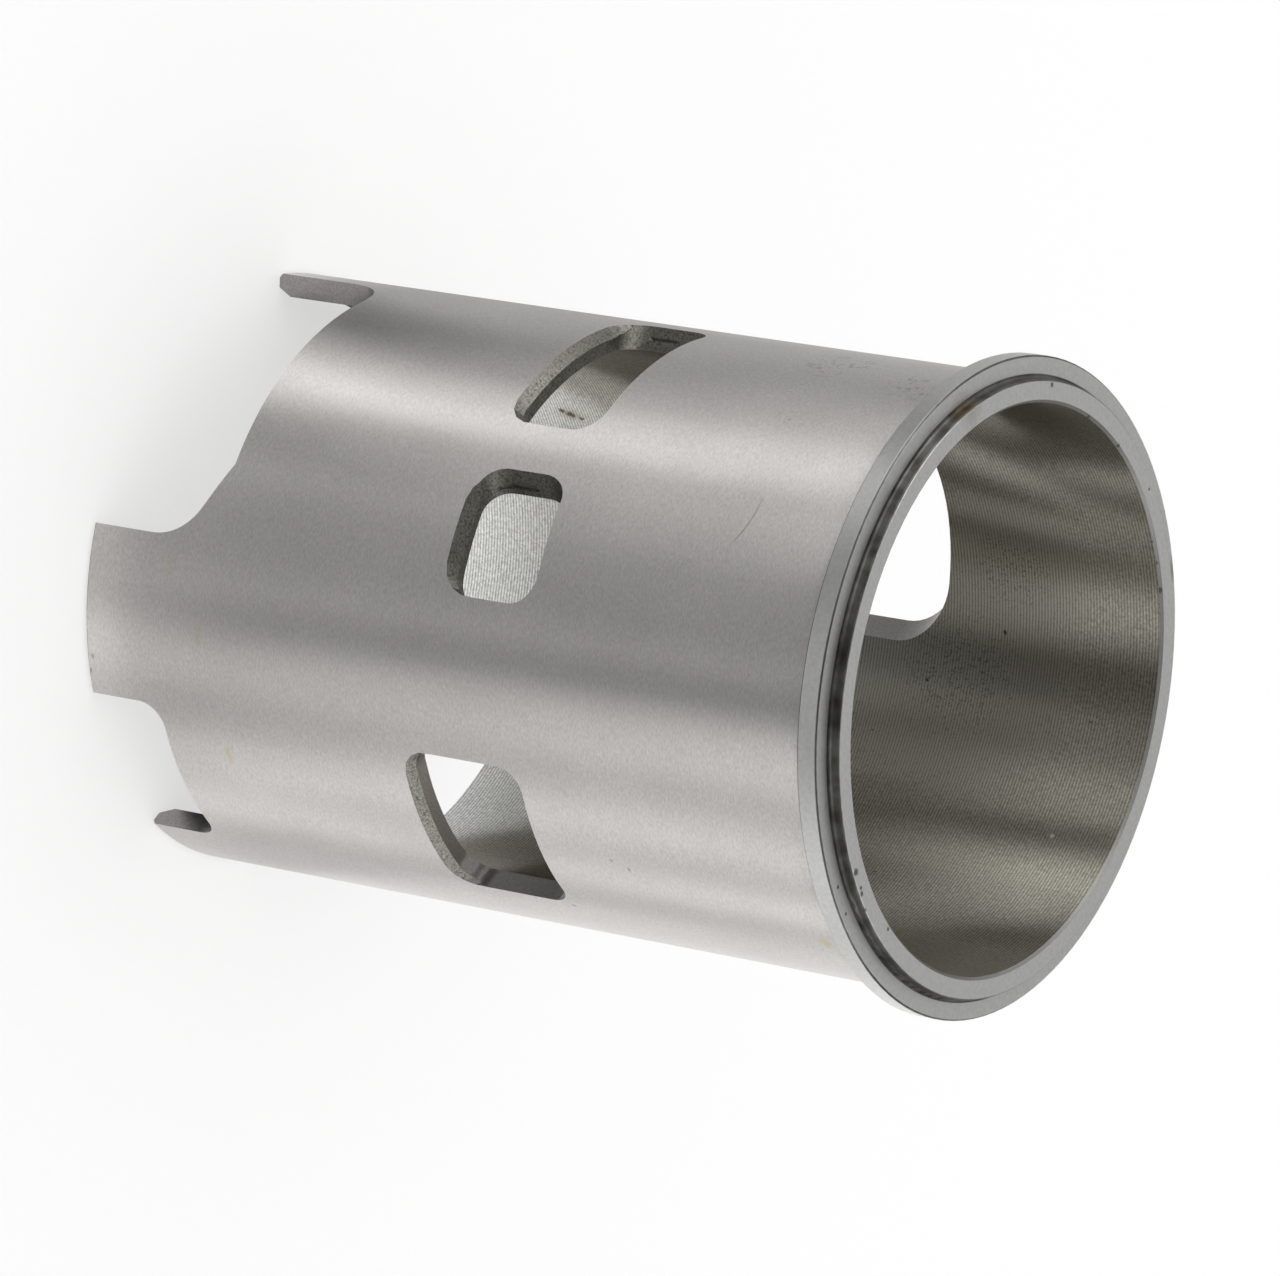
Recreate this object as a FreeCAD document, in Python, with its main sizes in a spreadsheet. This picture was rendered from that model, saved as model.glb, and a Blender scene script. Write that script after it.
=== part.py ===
"""Ported two-stroke cylinder liner: one turned sleeve with a seat flange, milled ports and skirt cut-outs.

Millimetres. The liner stands on its skirt: the origin is the centre of the skirt end, +Z runs up the bore
axis to the flange, the exhaust port faces +Y and the boost port faces -Y. The liner is symmetrical about
the YZ plane. Port roofs are given as drops below the flange face, which is what the liner hangs from.
"""
import FreeCAD, Part
import math
import os

import Sketcher

# Driving dimensions: name, value in millimetres or degrees, what it is.
SIZES = [
    ("bore_radius", 32.0, "running surface of the piston"),
    ("wall", 2.6, "sleeve wall, bore to ground outside"),
    ("liner_length", 101.5, "skirt end to flange face"),
    ("flange_lip", 2.5, "how far the seat flange stands out from the sleeve"),
    ("flange_thickness", 2.5, "seat flange, back to face"),
    ("spigot_wall", 2.55, "gasket spigot, bore to its outside"),
    ("spigot_height", 1.3, "spigot above the flange face"),
    ("spigot_root", 0.5, "fillet where the spigot meets the flange face"),
    ("rim_break", 0.2, "broken edges of flange and spigot"),
    ("mouth_break", 0.3, "broken edge of the bore at the spigot"),
    ("skirt_break", 0.45, "broken outer edge of the skirt end"),
    ("lead_in_depth", 0.95, "radial depth of the lead-in chamfer in the skirt"),
    ("lead_in_length", 1.65, "length of the lead-in chamfer along the bore"),
    ("exhaust_half_width", 21.3, "exhaust port, middle to side wall"),
    ("exhaust_roof_drop", 26.3, "flange face to the crown of the exhaust roof"),
    ("exhaust_height", 25.9, "exhaust port, sill to the crown of its roof"),
    ("exhaust_corner", 7.2, "corner radius of the exhaust port"),
    ("exhaust_crown", 110.0, "radius of the arched exhaust roof"),
    ("boost_half_width", 10.4, "boost port, middle to side wall"),
    ("boost_roof_drop", 41.6, "flange face to the boost roof"),
    ("boost_height", 14.9, "boost port, sill to roof"),
    ("boost_corner", 3.0, "corner radius of the boost port"),
    ("boost_ramp_depth", 0.8, "radial depth of the ramp outside the boost sill"),
    ("boost_ramp_height", 1.05, "drop of the ramp outside the boost sill"),
    ("main_angle", 105.25, "boost port to middle of the main transfer port"),
    ("main_half_angle", 21.05, "main transfer port, half of its span outside"),
    ("main_roof_drop", 40.4, "flange face to the main transfer roof"),
    ("main_height", 11.0, "main transfer port, sill to roof"),
    ("main_lean", 26.0, "lean of the main transfer walls from radial"),
    ("main_corner", 3.2, "corner radius of the main transfer port"),
    ("main_ramp_depth", 1.1, "radial depth of the ramp outside the main sill"),
    ("main_ramp_height", 1.05, "drop of the ramp outside the main sill"),
    ("second_angle", 61.2, "boost port to middle of the second transfer port"),
    ("second_half_angle", 12.6, "second transfer port, half of its span outside"),
    ("second_roof_drop", 40.1, "flange face to the second transfer roof"),
    ("second_height", 11.4, "second transfer port, sill to roof"),
    ("second_lean", 31.5, "lean of the second transfer walls from radial"),
    ("second_corner", 3.4, "corner radius of the second transfer port"),
    ("second_ramp_depth", 1.7, "radial depth of the ramp outside the second sill"),
    ("second_ramp_height", 0.85, "drop of the ramp outside the second sill"),
    ("ramp_run_in", 0.4, "how far the ramp cutter passes the inner edge of a ramp"),
    ("slot_half_width", 10.5, "skirt slot under the boost port, middle to side"),
    ("slot_depth", 10.1, "skirt slot, skirt end to its top"),
    ("slot_corner", 3.1, "corner radius of the skirt slot"),
    ("relief_start", 50.8, "boost port to the near side of the skirt relief"),
    ("relief_end", 126.0, "boost port to the far side of the skirt relief"),
    ("relief_depth", 17.2, "skirt relief, skirt end to its top"),
    ("relief_slope_run", 9.2, "sloped shoulder of the relief, round the skirt"),
    ("relief_slope_drop", 4.3, "sloped shoulder of the relief, down the skirt"),
    ("relief_near_corner", 6.8, "corner radius beside the near tongue"),
    ("relief_far_corner", 7.2, "corner radius beside the exhaust-side skirt"),
    ("belt_gap", 1.0, "crown of the exhaust roof to the unbroken belt above it"),
    ("overcut", 3.0, "how far the cutting shapes pass the faces they open"),
]

# Sizes that follow from the ones above: the radius of each turned face, and heights above the skirt end.
DERIVED = {
    "body_radius": "(<bore_radius> + <wall>)",
    "flange_radius": "(<bore_radius> + <wall> + <flange_lip>)",
    "spigot_radius": "(<bore_radius> + <spigot_wall>)",
    "flange_back": "(<liner_length> - <flange_thickness>)",
    "spigot_top": "(<liner_length> + <spigot_height>)",
    "exhaust_sill": "(<liner_length> - <exhaust_roof_drop> - <exhaust_height>)",
    "exhaust_roof": "(<liner_length> - <exhaust_roof_drop>)",
    "belt_start": "(<liner_length> - <exhaust_roof_drop> + <belt_gap>)",
    "boost_sill": "(<liner_length> - <boost_roof_drop> - <boost_height>)",
    "boost_roof": "(<liner_length> - <boost_roof_drop>)",
    "main_sill": "(<liner_length> - <main_roof_drop> - <main_height>)",
    "main_roof": "(<liner_length> - <main_roof_drop>)",
    "second_sill": "(<liner_length> - <second_roof_drop> - <second_height>)",
    "second_roof": "(<liner_length> - <second_roof_drop>)",
}

# Points closer than this are the same point, in millimetres.
SAME_PLACE = 0.01

# The boost port faces -Y, this many degrees before +X. Angles of ports and reliefs are given from it.
BOOST_ANGLE = 90

# A whole turn about the liner axis, in degrees.
TURN_ANGLE = 360

# How far round the corner of a port's sill the sections of its ramp lie, in degrees from the level sill.
CORNER_SECTIONS = (0, 27, 54, 80)

doc = FreeCAD.newDocument("CylinderLiner")


def make_sheet():
    """The spreadsheet that every feature takes its sizes from."""
    sheet = doc.addObject("Spreadsheet::Sheet", "Sizes")
    for row, (name, value, meaning) in enumerate(SIZES, start=1):
        sheet.set(f"A{row}", name)
        sheet.set(f"B{row}", str(value))
        sheet.set(f"C{row}", meaning)
        sheet.setAlias(f"B{row}", name)
    doc.recompute()
    return sheet


sheet = make_sheet()
liner = doc.addObject("PartDesign::Body", "Liner")
liner.Label = "cylinder_liner"
liner.Placement = FreeCAD.Placement()


def sized(expression):
    """An expression with derived sizes written out and the size names pointed at the sheet."""
    for name, meaning in DERIVED.items():
        expression = expression.replace(f"<{name}>", meaning)
    for name, _, _ in SIZES:
        expression = expression.replace(f"<{name}>", f"Sizes.{name}")
    return expression


def value_of(expression):
    """The number an expression has now, to draw a sketch close to its solution."""
    return float(sheet.evalExpression(sized(expression)))


def origin_plane(role):
    """One of the body's own origin planes."""
    return next(feature for feature in liner.Origin.OriginFeatures if feature.Role == role)


def new_sketch(name, role="XZ_Plane", angle=None, distance=None):
    """A sketch on an origin plane, turned to an angle from the boost port and moved along its normal."""
    sketch = liner.newObject("Sketcher::SketchObject", name)
    sketch.AttachmentSupport = [(origin_plane(role), "")]
    sketch.MapMode = "FlatFace"
    if angle is not None:
        turn = f"({angle}) - {BOOST_ANGLE}"
        upright = FreeCAD.Rotation(FreeCAD.Vector(0, 1, 0), 1)
        sketch.AttachmentOffset = FreeCAD.Placement(FreeCAD.Vector(), upright)
        sketch.setExpression("AttachmentOffset.Rotation.Angle", sized(turn))
        if distance is not None:
            sketch.setExpression("AttachmentOffset.Base.x", sized(f"({distance}) * sin({turn})"))
            sketch.setExpression("AttachmentOffset.Base.z", sized(f"({distance}) * cos({turn})"))
    return sketch


def new_step(kind, name):
    """A modelling step of the body that leaves neighbouring faces of the same surface apart."""
    step = liner.newObject(f"PartDesign::{kind}", name)
    step.Refine = False
    return step


def bind(sketch, constraint, name, expression):
    """Add a named dimension to a sketch and tie it to the sheet."""
    index = sketch.addConstraint(constraint)
    sketch.renameConstraint(index, name)
    sketch.setExpression(f"Constraints.{name}", sized(expression))


def join(sketch, kind, first, second, point):
    """Join the ends of two sketch elements that lie at the same point."""
    sketch.addConstraint(Sketcher.Constraint(
        kind, first, end_at(sketch, first, point), second, end_at(sketch, second, point)))


def end_at(sketch, element, point):
    """Which end of a sketch element lies at a point: 1 for its start, 2 for its end."""
    return 1 if (sketch.getPoint(element, 1) - point).Length < SAME_PLACE else 2


def draw_outline(sketch, corners):
    """Closed outline of straight sides through corners given as (x, y) or (x, y, corner radius).

    Each corner is a point placed by two dimensions. A rounded corner keeps that point as the place
    where its two sides would meet, and gets an arc tangent to both.
    """
    count = len(corners)
    points = [FreeCAD.Vector(value_of(corner[0]), value_of(corner[1]), 0) for corner in corners]
    starts, ends = {}, {}
    for i, corner in enumerate(corners):
        before = (points[i - 1] - points[i]).normalize()
        after = (points[(i + 1) % count] - points[i]).normalize()
        trim = 0.0
        if len(corner) == 3:
            trim = value_of(corner[2]) / math.tan(before.getAngle(after) / 2)
        ends[i] = points[i] + before * trim
        starts[i] = points[i] + after * trim
    sides = []
    for i in range(count):
        side = Part.LineSegment(starts[i], ends[(i + 1) % count])
        sides.append(sketch.addGeometry(side, False))
    for i, corner in enumerate(corners):
        mark = sketch.addGeometry(Part.Point(points[i]), True)
        bind(sketch, Sketcher.Constraint("DistanceX", -1, 1, mark, 1, points[i].x), f"x{i}", corner[0])
        bind(sketch, Sketcher.Constraint("DistanceY", -1, 1, mark, 1, points[i].y), f"y{i}", corner[1])
        side_in, side_out = sides[i - 1], sides[i]
        if len(corner) == 2:
            join(sketch, "Coincident", side_in, side_out, points[i])
            join(sketch, "Coincident", side_out, mark, points[i])
            continue
        middle = corner_middle(points[i], ends[i], starts[i], value_of(corner[2]))
        arc = sketch.addGeometry(Part.Arc(ends[i], middle, starts[i]), False)
        join(sketch, "Tangent", side_in, arc, ends[i])
        join(sketch, "Tangent", side_out, arc, starts[i])
        sketch.addConstraint(Sketcher.Constraint("PointOnObject", mark, 1, side_in))
        sketch.addConstraint(Sketcher.Constraint("PointOnObject", mark, 1, side_out))
        bind(sketch, Sketcher.Constraint("Radius", arc, value_of(corner[2])), f"r{i}", corner[2])


def corner_middle(corner, end, start, radius):
    """The middle point of the arc that rounds a corner."""
    inward = ((end + start) * 0.5 - corner).normalize()
    to_centre = math.hypot((end - corner).Length, radius)
    return corner + inward * (to_centre - radius)


def turn_sleeve():
    """The sleeve, flange and spigot as one revolved section: radius across, height up.

    Bore and outside are each turned in two faces that meet above the exhaust port, so that the unbroken
    belt, which guides the piston rings at the top, is a face of its own.
    """
    section = new_sketch("WallSection")
    draw_outline(section, [
        ("<bore_radius>", "<lead_in_length>"),
        ("<bore_radius> + <lead_in_depth>", "0"),
        ("<body_radius> - <skirt_break>", "0"),
        ("<body_radius>", "<skirt_break>"),
        ("<body_radius>", "<belt_start>"),
        ("<body_radius>", "<flange_back>"),
        ("<flange_radius> - <rim_break>", "<flange_back>"),
        ("<flange_radius>", "<flange_back> + <rim_break>"),
        ("<flange_radius>", "<liner_length> - <rim_break>"),
        ("<flange_radius> - <rim_break>", "<liner_length>"),
        ("<spigot_radius>", "<liner_length>", "<spigot_root>"),
        ("<spigot_radius>", "<spigot_top> - <rim_break>"),
        ("<spigot_radius> - <rim_break>", "<spigot_top>"),
        ("<bore_radius> + <mouth_break>", "<spigot_top>"),
        ("<bore_radius>", "<spigot_top> - <mouth_break>"),
        ("<bore_radius>", "<belt_start>"),
    ])
    sleeve = new_step("Revolution", "Sleeve")
    sleeve.Profile = section
    sleeve.ReferenceAxis = (section, ["V_Axis"])
    sleeve.Angle = TURN_ANGLE
    return sleeve


def leaning_side(port, offset, distance):
    """Where a transfer port's side wall crosses a plane that far from the axis, across the port.

    The wall passes the outside of the sleeve at an angle from the port's middle, and from there it
    leans from radial, so that going inwards it runs towards the boost port.
    """
    return (f"<body_radius> * sin({offset}) + (({distance}) - <body_radius> * cos({offset}))"
            f" * tan({offset} + <{port}_lean>)")


def cut_transfer(port):
    """One transfer port, lofted between a section inside the bore and one outside the sleeve."""
    angle = f"<{port}_angle>"
    half = f"<{port}_half_angle>"
    sill = f"<{port}_sill>"
    roof = f"<{port}_roof>"
    corner = f"<{port}_corner>"
    sections = []
    for place, distance in (("Inside", f"<bore_radius> * cos({half}) - <overcut>"),
                            ("Outside", "<body_radius> + <overcut>")):
        section = new_sketch(f"{port.title()}{place}", "YZ_Plane", angle, distance)
        boost_side = leaning_side(port, f"(-{half})", distance)
        exhaust_side = leaning_side(port, half, distance)
        draw_outline(section, [
            (boost_side, sill, corner),
            (exhaust_side, sill, corner),
            (exhaust_side, roof, corner),
            (boost_side, roof, corner),
        ])
        sections.append(section)
    window = new_step("SubtractiveLoft", f"{port.title()}Transfer")
    window.Profile = sections[0]
    window.Sections = [sections[1]]
    return window


def draw_ramp(name, port, angle, climb):
    """A port's ramp in section, at an angle from the boost port and raised by what the corner climbs."""
    sketch = new_sketch(name, angle=angle)
    sill = f"<{port}_sill> + {climb}"
    inside = f"<body_radius> - <{port}_ramp_depth> - <ramp_run_in>"
    outside = "<body_radius> + <overcut>"
    slope = f"<{port}_ramp_height> / <{port}_ramp_depth>"
    top = f"<{port}_sill> + 2 * <{port}_corner>"
    draw_outline(sketch, [
        (inside, f"{sill} + <ramp_run_in> * {slope}"),
        (outside, f"{sill} - (<{port}_ramp_depth> + <overcut>) * {slope}"),
        (outside, top),
        (inside, top),
    ])
    return sketch


def cut_ramp(port, start, end):
    """The bevelled ramp outside a port's level sill, which leads the charge up to it."""
    sketch = draw_ramp(f"{port.title()}RampSection", port, f"(({start}) + ({end})) / 2", "0")
    return revolve_cut(f"{port.title()}Ramp", sketch, f"({end}) - ({start})")


def cut_ramp_corner(port, side, place):
    """The end of a ramp, lofted up the round corner of the sill and run out at the port's side wall."""
    sections = []
    for step in CORNER_SECTIONS:
        climb = f"<{port}_corner> * (1 - cos({step}))"
        name = f"{port.title()}Ramp{side}Section{step}"
        sections.append(draw_ramp(name, port, place(port, step), climb))
    corner = new_step("SubtractiveLoft", f"{port.title()}Ramp{side}")
    corner.Profile = sections[0]
    corner.Sections = sections[1:]
    corner.Ruled = True
    return corner


def revolve_cut(name, sketch, span):
    """Cut a section round the liner axis, equally to both sides of its sketch plane."""
    cut = new_step("Groove", name)
    cut.Profile = sketch
    cut.ReferenceAxis = (sketch, ["V_Axis"])
    cut.Midplane = True
    cut.setExpression("Angle", sized(f"({span}) * 1 deg"))
    return cut


def near_place(port, step):
    """A place on the corner of a transfer port nearer the boost port, as an angle from the boost port."""
    inward = f"<{port}_corner> * (1 - sin({step}))"
    return f"(<{port}_angle> - <{port}_half_angle> + {inward} * 180 / pi / <body_radius>)"


def far_place(port, step):
    """The same on the corner nearer the exhaust, where the leaning wall lies deeper in at the ramp."""
    inward = f"(<{port}_corner> * (1 - sin({step})) + <{port}_ramp_depth> * tan(<{port}_lean>))"
    return f"(<{port}_angle> + <{port}_half_angle> - {inward} * 180 / pi / <body_radius>)"


def boost_place(port, step):
    """The same on the corner of the boost port, whose side walls are parallel."""
    across = f"<{port}_half_width> - <{port}_corner> * (1 - sin({step}))"
    return f"(asin(({across}) / <body_radius>) / 1 deg)"


def cut_relief():
    """The wide skirt relief under the transfer ports, with radial ends."""
    sketch = new_sketch("ReliefSection", angle="(<relief_start> + <relief_end>) / 2")
    draw_outline(sketch, [
        ("<bore_radius> - <overcut>", "-<overcut>"),
        ("<body_radius> + <overcut>", "-<overcut>"),
        ("<body_radius> + <overcut>", "<relief_depth>"),
        ("<bore_radius> - <overcut>", "<relief_depth>"),
    ])
    return revolve_cut("Relief", sketch, "<relief_end> - <relief_start>")


def mirror_across(originals):
    """The same cuts on the other side of the liner's symmetry plane."""
    mirror = new_step("Mirrored", "OtherSide")
    mirror.Originals = originals
    mirror.MirrorPlane = (origin_plane("YZ_Plane"), [""])
    liner.Tip = mirror
    return mirror


def mill_straight(name, sketch, towards_boost):
    """Cut a sketched opening straight through the wall on one side of the liner."""
    cut = new_step("Pocket", name)
    cut.Profile = sketch
    cut.Type = "ThroughAll"
    cut.Reversed = towards_boost
    return cut


def cut_exhaust():
    """The exhaust port: parallel sides, a level sill, an arched roof and four round corners."""
    sketch = new_sketch("ExhaustOutline")
    half = value_of("<exhaust_half_width>")
    sill = value_of("<exhaust_sill>")
    crown = value_of("<exhaust_crown>")
    corner = value_of("<exhaust_corner>")
    crown_middle = value_of("<exhaust_roof> - <exhaust_crown>")
    high = crown_middle + math.sqrt((crown - corner) ** 2 - (half - corner) ** 2)
    on_crown = FreeCAD.Vector(half - corner, high - crown_middle, 0) * (crown / (crown - corner))
    places = [
        (half - corner, sill),
        (half, sill + corner),
        (half, high),
        (on_crown.x, crown_middle + on_crown.y),
    ]
    right = [FreeCAD.Vector(x, y, 0) for x, y in places]
    left = [FreeCAD.Vector(-x, y, 0) for x, y in reversed(places)]
    low_middle = corner_middle(FreeCAD.Vector(half, sill, 0), right[0], right[1], corner)
    high_centre = FreeCAD.Vector(half - corner, high, 0)
    high_middle = high_centre + ((right[2] + right[3]) * 0.5 - high_centre).normalize() * corner
    top = FreeCAD.Vector(0, crown_middle + crown, 0)
    outline = [
        (left[3], None, right[0]),
        (right[0], low_middle, right[1]),
        (right[1], None, right[2]),
        (right[2], high_middle, right[3]),
        (right[3], top, left[0]),
        (left[0], FreeCAD.Vector(-high_middle.x, high_middle.y, 0), left[1]),
        (left[1], None, left[2]),
        (left[2], FreeCAD.Vector(-low_middle.x, low_middle.y, 0), left[3]),
    ]
    parts = [draw_side(sketch, *side) for side in outline]
    for before, after, (_, _, point) in zip(parts, parts[1:] + parts[:1], outline):
        join(sketch, "Tangent", before, after, point)
    floor, low_right, right_side, high_right, roof, high_left, left_side, low_left = parts
    sketch.addConstraint(Sketcher.Constraint("Horizontal", floor))
    sketch.addConstraint(Sketcher.Constraint("Vertical", right_side))
    sketch.addConstraint(Sketcher.Constraint("Vertical", left_side))
    sketch.addConstraint(Sketcher.Constraint("PointOnObject", roof, 3, -2))
    for other in (high_right, high_left, low_left):
        sketch.addConstraint(Sketcher.Constraint("Equal", low_right, other))
    bind(sketch, Sketcher.Constraint("DistanceX", -1, 1, right_side, 1, half), "right",
         "<exhaust_half_width>")
    bind(sketch, Sketcher.Constraint("DistanceX", -1, 1, left_side, 1, -half), "left",
         "-<exhaust_half_width>")
    bind(sketch, Sketcher.Constraint("DistanceY", -1, 1, floor, 1, sill), "sill", "<exhaust_sill>")
    bind(sketch, Sketcher.Constraint("DistanceY", -1, 1, roof, 3, crown_middle), "middle",
         "<exhaust_roof> - <exhaust_crown>")
    bind(sketch, Sketcher.Constraint("Radius", roof, crown), "crown", "<exhaust_crown>")
    bind(sketch, Sketcher.Constraint("Radius", low_right, corner), "corner", "<exhaust_corner>")
    return mill_straight("Exhaust", sketch, towards_boost=False)


def draw_side(sketch, start, middle, end):
    """One side of an outline: an arc if it has a middle point, otherwise a straight line."""
    side = Part.Arc(start, middle, end) if middle else Part.LineSegment(start, end)
    return sketch.addGeometry(side, False)


def cut_boost():
    """The boost port opposite the exhaust, with parallel sides and round corners."""
    sketch = new_sketch("BoostOutline")
    draw_outline(sketch, [
        ("-<boost_half_width>", "<boost_sill>", "<boost_corner>"),
        ("<boost_half_width>", "<boost_sill>", "<boost_corner>"),
        ("<boost_half_width>", "<boost_roof>", "<boost_corner>"),
        ("-<boost_half_width>", "<boost_roof>", "<boost_corner>"),
    ])
    return mill_straight("Boost", sketch, towards_boost=True)


def cut_slot():
    """The narrow skirt slot under the boost port, open at the skirt end."""
    sketch = new_sketch("SlotOutline")
    draw_outline(sketch, [
        ("-<slot_half_width>", "-<overcut>"),
        ("<slot_half_width>", "-<overcut>"),
        ("<slot_half_width>", "<slot_depth>", "<slot_corner>"),
        ("-<slot_half_width>", "<slot_depth>", "<slot_corner>"),
    ])
    return mill_straight("Slot", sketch, towards_boost=True)


def edges_between(feature, is_there):
    """Names of a feature's straight edges with both ends in a place."""
    names = []
    for index, edge in enumerate(feature.Shape.Edges, start=1):
        straight = edge.Curve.TypeId == "Part::GeomLine"
        if straight and all(is_there(vertex.Point) for vertex in edge.Vertexes):
            names.append(f"Edge{index}")
    return names


def radial_corner(feature, angle, height):
    """The corner edges that run out through the wall at an angle from the boost port, on both sides."""
    sideways = value_of(f"sin({angle})")
    backwards = value_of(f"cos({angle})")
    level = value_of(height)

    def is_there(point):
        radius = math.hypot(point.x, point.y)
        across = abs(abs(point.x) - radius * sideways) + abs(point.y + radius * backwards)
        return across < SAME_PLACE and abs(point.z - level) < SAME_PLACE
    return edges_between(feature, is_there)


def dress(kind, name, base, edges, expected, sizes):
    """Round or bevel the corner edges of the last feature."""
    if len(edges) != expected:
        raise RuntimeError(f"{name} needs {expected} edges and found {len(edges)}")
    dressing = new_step(kind, name)
    dressing.Base = (base, edges)
    for size, expression in sizes.items():
        dressing.setExpression(size, sized(expression))
    return dressing


def shape_shoulder(base):
    """The slope that the skirt relief starts with beside the near tongue."""
    edges = radial_corner(base, "<relief_start>", "<relief_depth>")
    shoulder = dress("Chamfer", "Shoulder", base, edges, 2,
                     {"Size": "<relief_slope_run>", "Size2": "<relief_slope_drop>"})
    shoulder.ChamferType = "Two distances"
    doc.recompute()
    return shoulder


def round_near_corners(base):
    """The round under the sloped shoulder, on both sides of the liner."""
    edges = radial_corner(base, "<relief_start>", "<relief_depth> - <relief_slope_drop>")
    rounded = dress("Fillet", "NearCorners", base, edges, 2, {"Radius": "<relief_near_corner>"})
    doc.recompute()
    return rounded


def round_far_corners(base):
    """The round between the relief and the exhaust side of the skirt."""
    edges = radial_corner(base, "<relief_end>", "<relief_depth>")
    rounded = dress("Fillet", "FarCorners", base, edges, 2, {"Radius": "<relief_far_corner>"})
    doc.recompute()
    return rounded


def check_volumes(solids, taken):
    """Every step takes metal away, or adds some, as it should."""
    for before, after in zip(solids, solids[1:]):
        change = after.Shape.Volume - before.Shape.Volume
        if (change < 0) != taken or abs(change) < SAME_PLACE:
            raise RuntimeError(f"{after.Name} changes the volume by {change}")


def check_states():
    """Nothing in the document is left in error."""
    for thing in doc.Objects:
        if "Invalid" in thing.State or "Error" in thing.State:
            raise RuntimeError(f"{thing.Name} is {thing.State}")
    shape = liner.Shape
    if shape.isNull() or not shape.isValid() or len(shape.Solids) != 1:
        raise RuntimeError("the liner is not one valid solid")


sleeve = turn_sleeve()
one_side = [
    cut_transfer("main"),
    cut_transfer("second"),
    cut_ramp("main", near_place("main", 0), far_place("main", 0)),
    cut_ramp("second", near_place("second", 0), far_place("second", 0)),
    cut_ramp_corner("main", "Near", near_place),
    cut_ramp_corner("main", "Far", far_place),
    cut_ramp_corner("second", "Near", near_place),
    cut_ramp_corner("second", "Far", far_place),
    cut_ramp_corner("boost", "End", boost_place),
    cut_relief(),
]
doc.recompute()
both_sides = mirror_across(one_side)
boost_side = boost_place("boost", 0)
middle = [cut_exhaust(), cut_boost(), cut_ramp("boost", f"-{boost_side}", boost_side), cut_slot()]
doc.recompute()
shoulder = shape_shoulder(middle[-1])
near_corners = round_near_corners(shoulder)
far_corners = round_far_corners(near_corners)

check_volumes([sleeve, *one_side, both_sides, *middle], taken=True)
check_volumes([middle[-1], shoulder, near_corners, far_corners], taken=False)
check_states()

os.makedirs("parts", exist_ok=True)
liner.Shape.exportStep("parts/cylinder_liner.step")
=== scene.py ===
"""Ported cylinder liner as it came off the machines: ground outside, bored inside, milled ports.

The liner stands on its skirt in a light tent. Lengths in the materials are millimetres of the real part.
"""

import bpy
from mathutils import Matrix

bl_info = {
    "name": "Ported cylinder liner",
    "version": (1, 0, 0),
    "blender": (4, 5, 0),
    "location": "3D View > Sidebar > Liner",
    "description": "Finishes a ported cylinder liner and sets it up in a light tent",
    "category": "Object",
}

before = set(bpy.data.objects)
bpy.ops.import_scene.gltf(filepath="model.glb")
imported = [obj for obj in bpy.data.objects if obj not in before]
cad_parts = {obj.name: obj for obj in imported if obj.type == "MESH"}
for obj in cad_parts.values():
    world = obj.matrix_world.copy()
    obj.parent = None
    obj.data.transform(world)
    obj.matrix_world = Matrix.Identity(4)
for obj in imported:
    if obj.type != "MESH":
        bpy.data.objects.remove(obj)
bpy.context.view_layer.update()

import math

import bpy
from bpy.props import FloatProperty, FloatVectorProperty, PointerProperty
from mathutils import Matrix, Vector

MM = 0.001
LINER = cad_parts["cylinder_liner"]


def linear(colour):
    """A hex sRGB colour as linear red, green, blue and alpha."""
    channels = [int(colour[i:i + 2], 16) / 255 for i in (1, 3, 5)]
    return [c / 12.92 if c <= 0.04045 else ((c + 0.055) / 1.055) ** 2.4 for c in channels] + [1.0]


def add(tree, kind, links=None, **settings):
    """Add a node. Links maps an input's name or number to an output, a value or a hex colour."""
    node = tree.nodes.new("ShaderNode" + kind)
    for name, value in settings.items():
        setattr(node, name, value)
    for name, value in (links or {}).items():
        socket = node.inputs[name]
        if isinstance(value, bpy.types.NodeSocket):
            tree.links.new(value, socket)
        else:
            socket.default_value = linear(value) if isinstance(value, str) else value
    return node


class LinerFinish(bpy.types.PropertyGroup):
    """Colours and machining marks of the liner."""

    ground: FloatVectorProperty(name="Ground iron", description="Ground outside of the sleeve",
                                subtype="COLOR", size=4, min=0, max=1, default=linear("#CDCAC7"))
    bored: FloatVectorProperty(name="Bored iron", description="Running surface of the bore",
                               subtype="COLOR", size=4, min=0, max=1, default=linear("#B4B1A5"))
    turned: FloatVectorProperty(name="Turned iron", description="Flange, spigot and edge breaks",
                                subtype="COLOR", size=4, min=0, max=1, default=linear("#D0D0CE"))
    milled: FloatVectorProperty(name="Milled iron", description="Other port walls and skirt cut-outs",
                                subtype="COLOR", size=4, min=0, max=1, default=linear("#9C9998"))
    coarse: FloatVectorProperty(name="Coarse iron", description="Transfer port walls and boost port ramp",
                                subtype="COLOR", size=4, min=0, max=1, default=linear("#82817A"))
    oil: FloatVectorProperty(name="Oil stain", description="Thin dried oil on the outside",
                             subtype="COLOR", size=4, min=0, max=1, default=linear("#C9B27E"))
    deposit: FloatVectorProperty(name="Deposit", description="Baked oil and light rust",
                                 subtype="COLOR", size=4, min=0, max=1, default=linear("#6E5A38"))
    grit: FloatVectorProperty(name="Grit", description="Dark pits and specks",
                              subtype="COLOR", size=4, min=0, max=1, default=linear("#33312C"))
    tool_pitch: FloatProperty(name="Tool pitch", description="Feed of the boring tool per turn, in mm",
                              default=0.41, min=0.05, max=2.0)


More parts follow.
